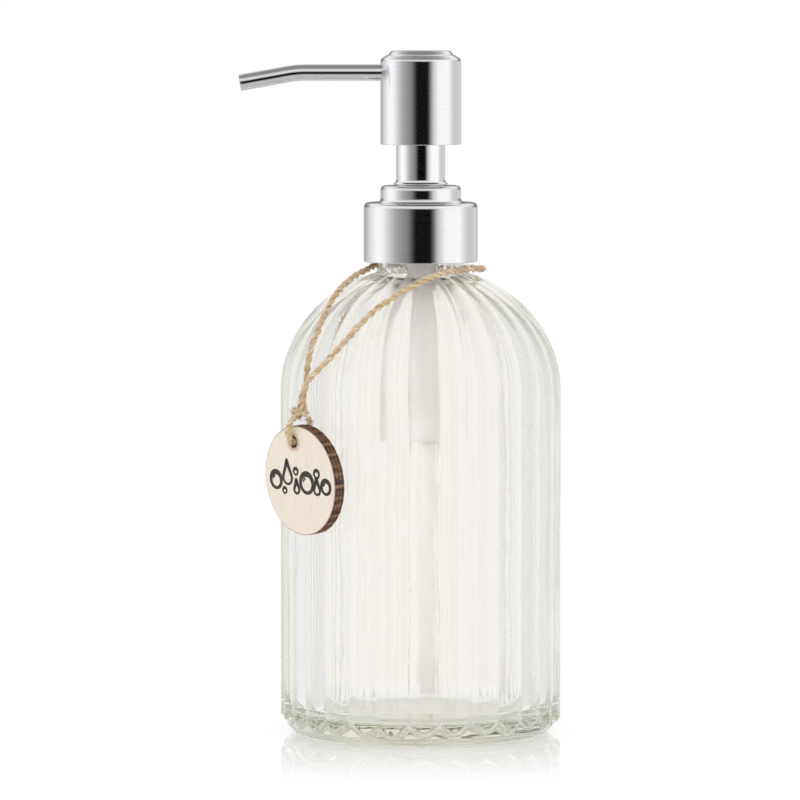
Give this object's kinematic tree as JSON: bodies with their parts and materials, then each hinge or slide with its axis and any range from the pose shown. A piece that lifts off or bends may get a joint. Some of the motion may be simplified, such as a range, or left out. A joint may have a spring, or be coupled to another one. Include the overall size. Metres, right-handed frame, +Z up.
{
  "type": "soap pump dispenser",
  "caption": "Fluted clear glass bottle with a domed shoulder, a stainless steel lotion pump with a bent spout, and a round wooden tag on a jute tie.",
  "frame": {"origin": "centre of the bottle's flat underside, on the axis that the bottle and the pump share", "axes": "+Z up along the bottle's axis; the spout points to -X; the front, where the tag hangs to the left, is -Y"},
  "size_m": [0.0918, 0.0815, 0.1942],
  "materials": {
    "clear_glass": "clear, fire polished",
    "valve_glass": "polished",
    "brushed_steel": "brushed round the axis",
    "polished_steel": "polished",
    "white_plastic": "moulded polypropylene",
    "milky_plastic": "translucent polypropylene",
    "black_rubber": "moulded",
    "birch_ply": "sanded birch plywood with laser-burnt edges",
    "jute": "2-ply twine"
  },
  "bodies": {
    "bottle": {"glass_bottle": "clear_glass", "twine_loop": "jute", "twine_knot": "jute", "twine_tag_loop": "jute"},
    "tag": {"wooden_tag": "birch_ply"},
    "pump": {"pump_housing": "milky_plastic", "guide_core": "white_plastic", "tower_sleeve": "polished_steel", "neck_gasket": "white_plastic", "valve_cage": "white_plastic", "dip_tube": "milky_plastic"},
    "collar": {"collar_shell": "brushed_steel", "threaded_closure": "white_plastic"},
    "plunger": {"piston_stem": "white_plastic", "piston_seal": "milky_plastic", "return_spring": "polished_steel"},
    "head": {"head_shell": "brushed_steel", "head_cap": "brushed_steel", "head_core": "white_plastic", "spout_tube": "polished_steel", "spout_seal": "black_rubber"},
    "inlet_valve": {"inlet_ball": "valve_glass"},
    "outlet_valve": {"outlet_ball": "polished_steel"}
  },
  "joints": [
    {"name": "head_press", "type": "slide", "parent": "pump", "child": "plunger", "axis": [0, 0, -1], "range_m": [0, 0.0112], "stiffness_N_per_m": 350, "springref_m": -0.012, "deforming": ["return_spring"]},
    {"name": "head_swivel", "type": "hinge", "parent": "plunger", "child": "head", "pos_m": [0, 0, 0.183], "axis": [0, 0, 1], "continuous": true},
    {"name": "pump_rise", "type": "slide", "parent": "bottle", "child": "pump", "axis": [0, 0, 1], "range_m": [0, 0.0048]},
    {"name": "collar_turn", "type": "hinge", "parent": "pump", "child": "collar", "pos_m": [0, 0, 0.1427], "axis": [0, 0, 1], "range_deg": [0, 400]},
    {"name": "inlet_lift", "type": "slide", "parent": "pump", "child": "inlet_valve", "axis": [0, 0, 1], "range_m": [0, 0.0015]},
    {"name": "outlet_lift", "type": "slide", "parent": "plunger", "child": "outlet_valve", "axis": [0, 0, 1], "range_m": [0, 0.001]},
    {"name": "tag_swing", "type": "hinge", "parent": "bottle", "child": "tag", "pos_m": [-0.03444, -0.02766, 0.08518], "axis": [-0.7614, -0.6435, -0.0785], "range_deg": [-22, 22]}
  ],
  "couplings": [
    {"joint": "pump_rise", "follows": "collar_turn", "m_per_rad": 0.00067407}
  ]
}
